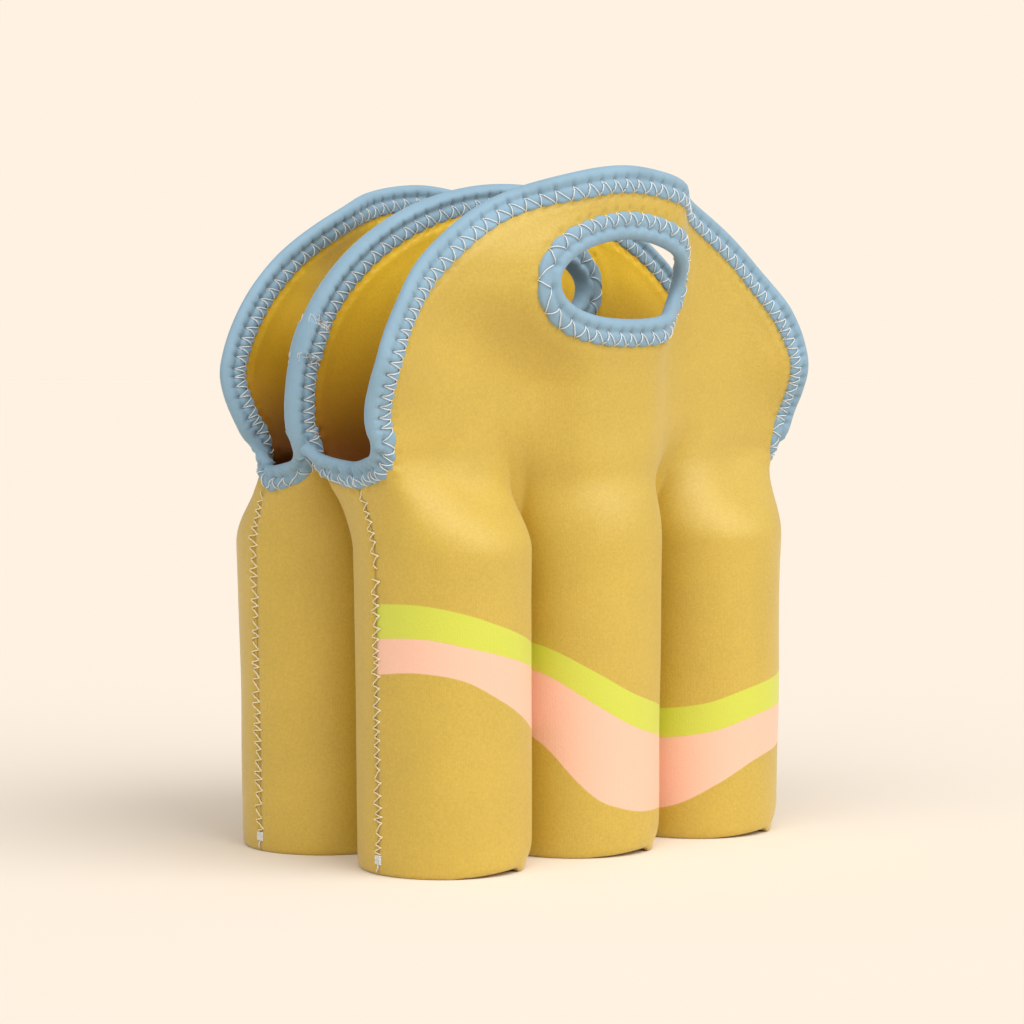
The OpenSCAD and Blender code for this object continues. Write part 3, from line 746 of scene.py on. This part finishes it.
def tubes(name, lines, radius, side, material, sides=6):
    """Round threads along runs of points in millimetres, as one piece."""
    points, faces = [], []
    turn = np.linspace(0, 2 * math.pi, sides, endpoint=False)
    for line in lines:
        line = np.asarray(line, float)
        t = unit(np.gradient(line, axis=0))
        ref = np.array([0.31, 0.47, 0.83])
        a = unit(np.cross(t, ref))
        b = np.cross(t, a)
        spokes = np.cos(turn)[None, :, None] * a[:, None] + np.sin(turn)[None, :, None] * b[:, None]
        ring = line[:, None] + radius * spokes
        start = len(points)
        points.extend(ring.reshape(-1, 3))
        n = len(line)
        for i in range(n - 1):
            for j in range(sides):
                j2 = (j + 1) % sides
                p = start + i * sides
                faces.append((p + j, p + j2, p + sides + j2, p + sides + j))
        faces.append(tuple(start + j for j in range(sides - 1, -1, -1)))
        faces.append(tuple(start + (n - 1) * sides + j for j in range(sides)))
    piece = mesh_object(name, placed(np.array(points), side), faces, [material])
    fix_normals(piece)
    return piece


class Sock:
    """A shader socket, or a number, that takes part in Python arithmetic."""

    def __init__(self, finish, socket):
        self.finish, self.socket = finish, socket

    def _math(self, kind, a, b=None):
        return self.finish.node("ShaderNodeMath", {0: a} if b is None else {0: a, 1: b}, operation=kind)

    def __add__(self, o):
        return self._math("ADD", self, o)

    def __mul__(self, o):
        return self._math("MULTIPLY", self, o)

    def __sub__(self, o):
        return self._math("SUBTRACT", self, o)

    def __rsub__(self, o):
        return self._math("SUBTRACT", o, self)

    def sin(self):
        return self._math("SINE", self)

    def clamp(self, low, high):
        return self.finish.node("ShaderNodeMapRange", {"Value": self, "From Min": low, "From Max": high})


class Finish:
    """A material whose nodes are made by one method."""

    def __init__(self, name):
        self.material = bpy.data.materials.new(name)
        self.material.use_nodes = True
        self.tree = self.material.node_tree
        self.shader = self.tree.nodes["Principled BSDF"]

    def node(self, kind, inputs=None, out=0, **settings):
        made = self.tree.nodes.new(kind)
        for name, value in settings.items():
            setattr(made, name, value)
        for name, value in (inputs or {}).items():
            self.put(made.inputs[name], value)
        return Sock(self, made.outputs[out])

    def put(self, socket, value):
        if isinstance(value, Sock):
            self.tree.links.new(value.socket, socket)
        else:
            socket.default_value = (*value, 1.0) if isinstance(value, tuple) and len(value) == 3 and \
                socket.type == "RGBA" else value

    def set(self, **values):
        for name, value in values.items():
            self.put(self.shader.inputs[name.replace("_", " ")], value)

    def mix_colour(self, a, b, w):
        made = self.tree.nodes.new("ShaderNodeMix")
        made.data_type = "RGBA"
        self.put(made.inputs[0], w)
        self.put(made.inputs[6], a)
        self.put(made.inputs[7], b)
        return Sock(self, made.outputs[2])

    def noise(self, vector, scale, detail=3.0, rough=0.5):
        return self.node("ShaderNodeTexNoise", {"Vector": vector, "Scale": scale, "Detail": detail,
                                                "Roughness": rough})

    def scaled(self, vector, factors):
        return self.node("ShaderNodeMapping", {"Vector": vector, "Scale": factors})

    def bump(self, height, strength, distance):
        self.set(Normal=self.node("ShaderNodeBump", {"Height": height, "Strength": strength,
                                                     "Distance": distance}))


def tint(base, factor):
    """A colour made lighter or darker."""
    return tuple(min(1.0, c * factor) for c in base)


def neoprene(name, base, sheen, paint=None):
    """Knitted jersey on neoprene: fine wales up the cloth, mottled, with a soft sheen. paint adds a print, or
    on the lining painted shade.
    """
    f = Finish(name)
    uv = f.node("ShaderNodeUVMap", uv_map="Cloth")
    place = f.node("ShaderNodeTexCoord", out=3)
    mottle = f.noise(place, 38.0, 5.0, 0.62)
    grain = f.noise(f.scaled(uv, (420.0, 150.0, 1.0)), 1.0, 2.0, 0.6)
    speck = f.noise(place, 900.0, 2.0, 0.5)
    share = (mottle - 0.5) * 0.45 + (grain - 0.5) * 0.7 + (speck - 0.5) * 0.7
    cloth = f.mix_colour(tint(base, 0.82), tint(base, 1.16), (share + 0.5).clamp(0.1, 0.9))
    if paint:
        cloth = paint(f, cloth, grain)
    f.set(Base_Color=cloth, Roughness=0.45, Sheen_Weight=0.27, Sheen_Roughness=0.45,
          Sheen_Tint=(*sheen, 1.0), Specular_IOR_Level=0.68)
    wales = (f.node("ShaderNodeSeparateXYZ", {"Vector": uv}) * 2 * math.pi * 170).sin()
    height = wales * 0.12 + grain * 0.9 + speck * 0.9
    f.bump(height, 0.24, 0.0005)
    return f.material


def tape_finish(base):
    """Smooth stretch tape with fine cross ribs and creases."""
    f = Finish("stretch_tape")
    uv = f.node("ShaderNodeUVMap", uv_map="Cloth")
    place = f.node("ShaderNodeTexCoord", out=3)
    mottle = f.noise(place, 60.0, 4.0, 0.6)
    thread = f.noise(f.scaled(uv, (900.0, 260.0, 1.0)), 1.0, 2.0, 0.5)
    crease = f.noise(f.scaled(uv, (26.0, 7.0, 1.0)), 1.0, 3.0, 0.55)
    share = (mottle - 0.5) * 0.8 + (thread - 0.5) * 0.6 + 0.5
    f.set(Base_Color=f.mix_colour(tint(base, 0.86), tint(base, 1.14), share.clamp(0.1, 0.9)),
          Roughness=0.58, Sheen_Weight=0.3, Sheen_Roughness=0.4, Sheen_Tint=(0.75, 0.85, 1.0, 1.0),
          Specular_IOR_Level=0.4)
    f.bump(crease * 1.2 + thread * 0.35, 0.35, 0.0005)
    return f.material


def thread_finish(name, base):
    """Polyester sewing thread with its twist."""
    f = Finish(name)
    place = f.node("ShaderNodeTexCoord", out=3)
    settings = {"Vector": place, "Scale": 900.0, "Distortion": 2.0, "Detail": 1.0}
    twist = f.node("ShaderNodeTexWave", settings, out=1)
    f.set(Base_Color=f.mix_colour(tint(base, 0.82), tint(base, 1.12), twist), Roughness=0.5,
          Sheen_Weight=0.2, Specular_IOR_Level=0.4)
    f.bump(twist, 0.4, 0.0002)
    return f.material


WAVE_EDGES = {
    "wave_top": [(-157, 102), (-136, 102), (-120, 98.6), (-107, 94), (-85, 86.5), (-31, 80.3), (-17, 72.6),
                 (-3, 64.5), (20, 57.1), (73, 53.3), (84, 55.1), (99, 59.8), (124, 65), (157, 71)],
    "wave_mid": [(-157, 89), (-134, 89.4), (-116, 85.4), (-85, 77), (-31, 69.1), (-18, 60.6), (-3, 51.7),
                 (20.6, 44.7), (75, 41.7), (87, 43.8), (104, 49), (124, 52.4), (157, 58)],
    "wave_low": [(-157, 75.5), (-136.6, 76.9), (-121, 73.9), (-106.5, 66), (-85, 53.8), (-33, 40.7),
                 (-24.4, 30.8), (-15.8, 22.9), (-5.6, 18.8), (21, 16), (75, 15), (88.4, 22.3), (104, 30.7),
                 (124, 35.5), (157, 43)],
}


def smooth_curve(points, at):
    """A smooth line through given points, read at any place."""
    p = np.array(points, float)
    slope = np.gradient(p[:, 1], p[:, 0])
    i = np.clip(np.searchsorted(p[:, 0], at) - 1, 0, len(p) - 2)
    h = p[i + 1, 0] - p[i, 0]
    w = np.clip((at - p[i, 0]) / h, 0, 1)
    a, b, m0, m1 = p[i, 1], p[i + 1, 1], slope[i] * h, slope[i + 1] * h
    return (2 * w ** 3 - 3 * w ** 2 + 1) * a + (w ** 3 - 2 * w ** 2 + w) * m0 + \
        (3 * w ** 2 - 2 * w ** 3) * b + (w ** 3 - w ** 2) * m1


def wave_bands(lime, peach):
    """Adds the two printed bands to a cloth's colour. Each edge's attribute is the height over that edge."""
    def paint(f, cloth, grain):
        top, mid, low = (f.node("ShaderNodeAttribute", out=2, attribute_name=n)
                         for n in ("wave_top", "wave_mid", "wave_low"))
        soft = 0.25
        under_top = (top * -1.0).clamp(-soft, soft)
        under_mid = (mid * -1.0).clamp(-soft, soft)
        over_low = low.clamp(-soft, soft)
        shade = grain.clamp(0.25, 0.85)
        lime_c = f.mix_colour(tint(lime, 0.93), tint(lime, 1.05), shade)
        peach_c = f.mix_colour(tint(peach, 0.94), tint(peach, 1.04), shade)
        cloth = f.mix_colour(cloth, lime_c, under_top * (1 - under_mid))
        return f.mix_colour(cloth, peach_c, under_mid * over_low)
    return paint


def painted_pocket_shade(yellow):
    """Painted shade: darkens a lining's colour towards the pockets, where little light reaches."""
    def paint(f, cloth, _grain):
        height = f.node("ShaderNodeSeparateXYZ", {"Vector": f.node("ShaderNodeUVMap", uv_map="Cloth")}, out=1)
        # painted shade: the lining fades into this dark amber below about 228 mm
        amber = (yellow[0] * 0.30, yellow[1] * 0.155, yellow[2] * 0.5)
        return f.mix_colour(amber, cloth, height.clamp(1.58, 2.28))
    return paint


MATERIALS = {}


def materials():
    """All finishes, made once."""
    if not MATERIALS:
        c = bpy.context.scene.carrier_colours
        mustard, yellow = tuple(c.mustard), tuple(c.yellow)
        pale = (1.0, 0.94, 0.76)
        MATERIALS["outside"] = neoprene("mustard_neoprene", mustard, pale)
        MATERIALS["printed"] = neoprene("printed_neoprene", mustard, pale,
                                        wave_bands(tuple(c.lime), tuple(c.peach)))
        # The lining's paint is painted shade: darker towards the pockets
        MATERIALS["inside"] = neoprene("yellow_lining", yellow, (0.45, 0.33, 0.10), painted_pocket_shade(yellow))
        MATERIALS["tape"] = tape_finish(tuple(c.blue))
        MATERIALS["thread"] = thread_finish("pale_thread", tuple(c.thread))
        MATERIALS["seam"] = thread_finish("straw_thread", tuple(c.seam_thread))
    return MATERIALS


def new_cut():
    """The pattern at the sizes set in the panel."""
    return Cut(bpy.context.scene.carrier_sizes)


TAPES = {}


def outer_tape_rows(cut, form):
    """An outer flap's binding: from the middle flap's foot round the left mouth, over the arch and down."""
    foot = {1: 168.0, -1: 166.0}
    fillet = {1: 6.5, -1: 5.5}
    mouths = {(way, sign): mouth_line(cut, form, way, foot[way], fillet[way], sign)
              for way in (1, -1) for sign in (1, -1)}
    over = np.vstack([mouths[1, -1][::-1], arch_line(cut, 1, form, foot[1])[1:-1], mouths[1, 1]])
    up, down = (stations(cut, line, -1) for line in (mouths[-1, -1], mouths[-1, 1][::-1]))
    return np.vstack([up[:-1], stations(cut, over, 1), down[1:]])


def mouth_share(rows):
    """How strongly the tape is gathered at each station: fully in the mouths, not at all on the arch."""
    return 1 - ease(154, 170, rows[:, 1])


def make_tapes(cut):
    """Plans every binding, so that the sheets know where the needle holes are."""
    if TAPES:
        return TAPES
    hole = resampled(hole_line(cut), cut.tape_step, True)[0]
    for k, (name, side, form) in enumerate(SLEEVES):
        rows = outer_tape_rows(cut, form)
        TAPES[name + "_binding"] = Tape(cut, rows, form, side, seed=k, rough=mouth_share(rows))
        rows = np.column_stack([hole, inward_2d(hole, True), np.ones(len(hole))])
        TAPES[name + "_handle_binding"] = Tape(cut, rows, form, side, closed=True, seed=10 + k)
    rows = stations(cut, arch_line(cut, -1, FRONT, 156.5), 1)
    rows[:, 4] = -1
    TAPES["middle_binding"] = Tape(cut, rows, FRONT, 1, extra=1.55, seed=20, rough=0.5 * mouth_share(rows),
                                   offset=-cut.layer_d, splice=(195.0, 208.0))
    rows = np.column_stack([hole, inward_2d(hole, True), -np.ones(len(hole))])
    TAPES["middle_handle_binding"] = Tape(cut, rows, FRONT, 1, extra=1.55, closed=True, seed=21,
                                          offset=-cut.layer_d)
    return TAPES


def sheet_heights(cut, way, inset):
    """Row heights: sparse round the bottles, close on the shoulders, closer towards an arch's top."""
    mid, _, rise, power = cut.arch_of(way)
    low = spans([cut.heel_h + 2.5, cut.body_h - 6], 3.0)
    shoulder = spans([cut.body_h - 6, cut.mouth - 4.5, mid], 1.25)[1:]
    a = np.linspace(0, math.pi / 2, int(rise / 1.15) + 1)[1:-1]
    return np.concatenate([low, shoulder, mid + (rise - inset) * np.sin(a) ** (2 / power)])


def cloth_swell(s, z, seed):
    """Slow unevenness of a worn sheet, in millimetres."""
    p = seed * 1.3
    return 0.16 * np.sin(s / 11.0 + z / 19.0 + p) + 0.12 * np.sin(s / 23.0 - z / 13.0 + 2 * p) + \
        0.07 * np.sin(s / 5.1 + z / 31.0 + 3 * p)


def edge_distance(xi, z, tapes, way):
    """How far places on a sheet lie from its bound edges, in millimetres."""
    line = np.vstack([tape.rows[tape.rows[:, 4] * way > 0][::3, :2] for tape in tapes])
    return np.concatenate([np.hypot(a[:, None] - line[:, 0], b[:, None] - line[:, 1]).min(1)
                           for a, b in zip(np.array_split(xi, 60), np.array_split(z, 60))])


def build_sheet(cut, name, side, form, way, face_mat, back_mat, tapes, seed):
    """One neoprene sheet: its floor, its half of the pockets, the shoulders and the flap above them."""
    marks = [cut.arc / 2, cut.arc / 2 + cut.web, cut.corner_s, cut.half]
    s = spans([-m for m in marks[::-1]] + marks, cut.step)
    zs = sheet_heights(cut, way, 2.6)
    left, right = form["mouth"]
    top_of = cut.mouth + np.where(s < 0, left, right)
    face, back = foot_rows(cut, s, way)
    z = np.repeat(zs, len(s))
    grid_s = np.tile(s, len(zs))
    half = cut.half_at(z, grid_s, way, form, 2.6)
    xi = np.where(z > cut.mouth, grid_s / cut.corner_s * half, cut.across(grid_s, z, way, form))
    height = np.where(np.abs(grid_s) > cut.corner_s, np.minimum(z, np.tile(top_of, len(zs))), z)
    inside = edge_distance(xi, height, tapes, way)
    swell = cloth_swell(grid_s, z, seed) * ease(20, 60, z) * ease(8, 22, inside)
    thick = cut.t / 2 - 0.95 * (1 - ease(8.0, 10.4, inside)) + 0.25 * bell(inside - 13.5, 2.5)
    shape = (len(zs), len(s), 3)
    face = np.concatenate([face, cut.sheet(xi, height, thick + swell, way, form).reshape(shape)])
    back = np.concatenate([back, cut.sheet(xi, height, swell - thick, way, form).reshape(shape)])
    heights = np.concatenate([np.zeros(len(face) - len(zs)), zs])
    centre = (face + back) / 2
    places = np.vstack([tape.hole_places(way) for tape in tapes])
    grooved = face if way > 0 else back
    for grid, off in ((face, cut.t / 2), (back, -cut.t / 2)):
        normals = grid_normals(grid)
        normals = normals * np.sign((normals * (grid - centre)).sum(-1, keepdims=True))
        if grid is grooved:
            span = ease(2, 8, heights) * (1 - ease(cut.mouth - 14, cut.mouth - 8, heights))
            seam = SEAM_DIP * bell(np.abs(s) - cut.half, SEAM_WIDTH)[None, :] * span[:, None]
            grid -= seam[..., None] * normals
        holes = cut.sheet(places[:, 0], places[:, 1], off, way, form)
        grid[:] = dented(grid, normals, holes, 1.0, 1.0, 0.25, 3.0)
    rows, cols = face.shape[:2]
    z_mid = (heights[:-1] + heights[1:]) / 2
    s_mid = (s[:-1] + s[1:]) / 2
    below = z_mid[:, None] < (top_of[:-1] + top_of[1:])[None, :] / 2
    kept = below | (np.abs(s_mid) < cut.corner_s)[None, :]
    mids = (face[:-1, :-1] + face[1:, 1:]) / 2
    kept &= ~in_hole(cut, mids[..., 0], z_mid[:, None] + 0 * mids[..., 0], 3.4)
    faces, kinds = sheet_faces(kept, rows * cols)
    points = np.concatenate([face.reshape(-1, 3), back.reshape(-1, 3)])
    grid_s = np.broadcast_to(s, (rows, cols)).ravel()
    grid_z = np.broadcast_to(heights[:, None], (rows, cols)).ravel()
    points, faces, us, vs = trimmed(points, faces, np.tile(grid_s, 2), np.tile(grid_z, 2))
    piece = mesh_object(name, placed(points, side), faces, [face_mat, back_mat], face_material=kinds)
    put_uv(piece, us, vs)
    fix_normals(piece)
    return piece, us, vs


def declare_sheet(cut, way):
    """Works out the sheet's cut sizes: the pockets' width, its height from the floor to the arch, and its
    flat area; it keeps none of them.
    """
    mid, _, rise, _ = cut.arch_of(way)
    wide = 2 * cut.half * MM
    tall = (mid + rise + cut.r) * MM
    pockets_tall, arch_from, arch_fill = 0.176, 0.190, 0.75
    flat_area = wide * pockets_tall + arch_fill * 2 * cut.flap_w * MM * (tall - arch_from)


def join_flap(piece, name):
    """Bakes a piece's place into its mesh."""
    name + "_flap"
    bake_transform(piece)


class CARRIER_OT_outer_sheets(bpy.types.Operator):
    """Build the two outer sheets, each the front of its pockets and a handle flap in one piece"""
    bl_idname = "carrier.outer_sheets"
    bl_label = "Outer sheets"

    def execute(self, context):
        cut, mats = new_cut(), materials()
        tapes = make_tapes(cut)
        for k, (name, side, form) in enumerate(SLEEVES):
            face = mats["printed"] if name == "front" else mats["outside"]
            around = [tapes[name + "_handle_binding"], tapes[name + "_binding"]]
            piece, us, vs = build_sheet(cut, name + "_outer_sheet", side, form, 1, face, mats["inside"],
                                        around, k)
            if name == "front":
                for edge, points in WAVE_EDGES.items():
                    put_attribute(piece, edge, vs - smooth_curve(points, us))
            join_flap(piece, name)
            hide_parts(name + "_pocket_wall", name + "_handle_flap")
            declare_sheet(cut, 1)
        return {"FINISHED"}


class CARRIER_OT_inner_sheets(bpy.types.Operator):
    """Build the two inner sheets, each the back of its pockets and one layer of the middle flap"""
    bl_idname = "carrier.inner_sheets"
    bl_label = "Inner sheets"

    def execute(self, context):
        cut, mats = new_cut(), materials()
        tapes = make_tapes(cut)
        for k, (name, side, form) in enumerate(SLEEVES):
            around = [tapes[n] for n in ("middle_handle_binding", "middle_binding", name + "_binding")]
            piece, _, _ = build_sheet(cut, name + "_inner_sheet", side, form, -1, mats["inside"],
                                      mats["outside"], around, 5 + k)
            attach(piece, "sleeves")
            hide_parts(name + "_inner_panel")
            declare_sheet(cut, -1)
        return {"FINISHED"}


class CARRIER_OT_bindings(bpy.types.Operator):
    """Fold the stretch tape over every edge and stitch it down with a zigzag on both faces"""
    bl_idname = "carrier.bindings"
    bl_label = "Bindings and zigzags"

    def execute(self, context):
        cut, mats = new_cut(), materials()
        stand_for = {
            "front_binding": ["front_edge_binding", "front_left_mouth_binding", "front_right_mouth_binding"],
            "back_binding": ["back_edge_binding", "back_left_mouth_binding", "back_right_mouth_binding"],
            "middle_binding": ["middle_edge_binding"],
            "front_handle_binding": ["front_handle_binding"],
            "back_handle_binding": ["back_handle_binding"],
            "middle_handle_binding": ["middle_handle_binding"],
        }
        for name, tape in make_tapes(cut).items():
            piece = tape.mesh(name + "_tape", mats["tape"])
            thread = tubes(name + "_zigzag", tape.thread_lines(1) + tape.thread_lines(-1), cut.thread / 2,
                           tape.side, mats["thread"])
            sewn = [piece, thread]
            if tape.splice:
                sewn.append(tubes(name + "_splice_fibres", tape.frays(), cut.thread * 0.25, tape.side,
                                  mats["thread"], 4))
            owner = name.split("_")[0]
            for made in sewn:
                if owner == "middle":
                    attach(made, "sleeves")
                elif "handle" in name:
                    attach(made, owner + "_flap")
                else:
                    join_flap(made, owner)
            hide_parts(*stand_for[name])
            under = ("back" if owner == "back" else "front") + "_inner_panel"
            tape.total * MM
        return {"FINISHED"}


def seam_line(cut, form, z, lateral, lift, sign):
    """Points over a side seam: lateral millimetres round onto the outer sheet, or below 0 the inner one."""
    out = np.zeros((len(z), 3))
    for way in (1, -1):
        on = lateral * way >= 0
        if on.any():
            s = sign * (cut.half - np.abs(lateral[on]))
            xi = cut.across(s, z[on], way, form)
            dip = SEAM_DIP * bell(lateral[on], SEAM_WIDTH)
            out[on] = cut.sheet(xi, z[on], way * (cut.t / 2 + lift[on] - dip), way, form)
    return out


def seam_stitches(cut, form, sign, rng):
    """A loose zigzag up a side seam, each leg its own short run of thread, dipping in at the holes."""
    lines = []
    top = cut.mouth - 12 + form["mouth"][sign > 0]
    z, flank = 8.0, 1
    w = np.linspace(0, 1, 8)
    r = cut.thread / 2
    start = (z, 1.4)
    while z < top:
        z += cut.seam_stitch * (0.5 + 0.13 * rng.normal()) * (0.5 if flank > 0 else 1.5)
        flank = -flank
        end = (z, 0.3 + flank * (1.9 + 0.4 * rng.normal()))
        height = mix(start[0], end[0], w)
        lateral = mix(start[1], end[1], w) + 0.18 * np.sin(w * math.pi) * rng.normal()
        lift = r + 0.22 + 0.16 * np.sin(w * math.pi) - 0.6 * bell(np.minimum(w, 1 - w), 0.09)
        if rng.random() > 0.02:
            lines.append(seam_line(cut, form, height, lateral, lift, sign))
        start = end
    return lines


def bar_tack(cut, form, sign, rng):
    """A dense block of stitches over the foot of a side seam, with a cut tail of thread."""
    lines = []
    for i in range(9):
        z = np.full(7, 4.4 + i * 0.38 + 0.05 * rng.normal())
        lateral = np.linspace(-1.6, 1.8, 7) + 0.08 * rng.normal()
        lift = 0.40 - 0.4 * bell(np.minimum(np.arange(7), 6 - np.arange(7)), 0.6)
        lines.append(seam_line(cut, form, z, lateral, lift, sign))
    w = np.linspace(0, 1, 10)
    lines.append(seam_line(cut, form, 5.0 - 3.4 * w, -0.8 + 1.2 * np.sin(w * 2.6), 0.5 + 0.8 * w * w, sign))
    return lines


class CARRIER_OT_side_seams(bpy.types.Operator):
    """Stitch the four side seams with a loose zigzag and a bar tack at the foot"""
    bl_idname = "carrier.side_seams"
    bl_label = "Side seams"

    def execute(self, context):
        cut, mats = new_cut(), materials()
        for k, (name, side, form) in enumerate(SLEEVES):
            for label, sign in (("left", -1), ("right", 1)):
                rng = np.random.default_rng(cut.seed + 40 + 2 * k + (sign > 0))
                for kind, make, share, finish, slot in (
                        ("seam_stitch", seam_stitches, 0.62, "seam", "cloth"),
                        ("bar_tack", bar_tack, 0.55, "thread", "tape")):
                    piece = tubes(f"{name}_{label}_{kind}", make(cut, form, sign, rng), cut.thread * share,
                                  side, mats[finish])
                    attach(piece, "sleeves")
        return {"FINISHED"}


CAMERA_AT = (-0.7773, -0.8537, 0.19084)
CAMERA_YAW = math.radians(42.28)
CAMERA_DOWN = math.radians(2.955)
FOCAL_PX = 2854.4
PHOTO_PX = 1024
SENSOR = 36.0


def sun(name, azimuth, height, power, spread, tint_colour=(1, 1, 1)):
    """A soft sun from a compass direction (degrees from +x towards +y) and a height in degrees."""
    a, h = math.radians(azimuth), math.radians(height)
    way = Vector((math.cos(a) * math.cos(h), math.sin(a) * math.cos(h), math.sin(h)))
    bpy.ops.object.light_add(type="SUN", location=way)
    lamp = bpy.context.object
    lamp.name = name
    lamp.data.energy = power
    lamp.data.angle = math.radians(spread)
    lamp.data.color = tint_colour
    lamp.rotation_euler = way.to_track_quat("Z", "Y").to_euler()
    return lamp


class CARRIER_OT_stage(bpy.types.Operator):
    """Set the floor, the soft lamps and the camera"""
    bl_idname = "carrier.stage"
    bl_label = "Stage"

    def execute(self, context):
        scene = context.scene
        bpy.ops.mesh.primitive_plane_add(size=60, location=(0, 0, 0))
        floor = context.object
        floor.name = "floor"
        f = Finish("floor_paper")
        world = bpy.data.worlds.new("studio")
        scene.world = world
        world.use_nodes = True
        tree = world.node_tree
        back = tree.nodes["Background"]
        sky = Vector((0.46, 0.448, 0.434))
        back.inputs["Color"].default_value = (*sky, 1.0)
        seen = tree.nodes.new("ShaderNodeBackground")
        backdrop = tuple(scene.carrier_colours.backdrop)
        seen.inputs["Color"].default_value = (*backdrop, 1.0)
        seen.inputs["Strength"].default_value = 1.0
        path = tree.nodes.new("ShaderNodeLightPath")
        choose = tree.nodes.new("ShaderNodeMixShader")
        tree.links.new(path.outputs["Is Camera Ray"], choose.inputs[0])
        tree.links.new(back.outputs[0], choose.inputs[1])
        tree.links.new(seen.outputs[0], choose.inputs[2])
        tree.links.new(choose.outputs[0], tree.nodes["World Output"].inputs["Surface"])
        suns = [sun("key", -76, 37, 1.62, 60, (1.0, 0.985, 0.95)),
                sun("fill", 198, 46, 0.9, 50, (1.0, 0.97, 0.92)),
                sun("top", 275, 66, 0.8, 45)]
        light = sky.copy()
        for lamp in suns:
            light += Vector(lamp.data.color) * lamp.data.energy * lamp.location.z / math.pi
        f.set(Base_Color=tuple(b / c for b, c in zip(backdrop, light)), Roughness=1.0, Specular_IOR_Level=0.0)
        floor.data.materials.append(f.material)
        camera = bpy.data.cameras.new("camera")
        camera.lens = FOCAL_PX / PHOTO_PX * SENSOR
        camera.sensor_width = SENSOR
        seat = bpy.data.objects.new("camera", camera)
        scene.collection.objects.link(seat)
        seat.location = CAMERA_AT
        seat.rotation_euler = (math.pi / 2 - CAMERA_DOWN, 0, -CAMERA_YAW)
        scene.camera = seat
        scene.view_settings.view_transform = "Standard"
        return {"FINISHED"}


OPERATORS = (CARRIER_OT_stage, CARRIER_OT_outer_sheets, CARRIER_OT_inner_sheets, CARRIER_OT_bindings,
             CARRIER_OT_side_seams)


class CARRIER_PT_panel(bpy.types.Panel):
    """The carrier's pieces, in the order in which they are made"""
    bl_idname = "CARRIER_PT_panel"
    bl_label = "Six pack carrier"
    bl_space_type = "VIEW_3D"
    bl_region_type = "UI"
    bl_category = "Carrier"

    def draw(self, context):
        for group in (context.scene.carrier_sizes, context.scene.carrier_colours):
            for name in group.__annotations__:
                self.layout.prop(group, name)
        for operator in OPERATORS:
            self.layout.operator(operator.bl_idname)


CLASSES = (CarrierSizes, CarrierColours, *OPERATORS, CARRIER_PT_panel)


def register():
    for made in CLASSES:
        bpy.utils.register_class(made)
    bpy.types.Scene.carrier_sizes = PointerProperty(type=CarrierSizes)
    bpy.types.Scene.carrier_colours = PointerProperty(type=CarrierColours)


def unregister():
    del bpy.types.Scene.carrier_colours
    del bpy.types.Scene.carrier_sizes
    for made in reversed(CLASSES):
        bpy.utils.unregister_class(made)


def main():
    """Makes the stage and every piece."""
    register()
    bpy.ops.object.select_all(action="DESELECT")
    bpy.ops.carrier.stage()
    bpy.ops.carrier.outer_sheets()
    bpy.ops.carrier.inner_sheets()
    bpy.ops.carrier.bindings()
    bpy.ops.carrier.side_seams()


if __name__ == "__main__":
    main()
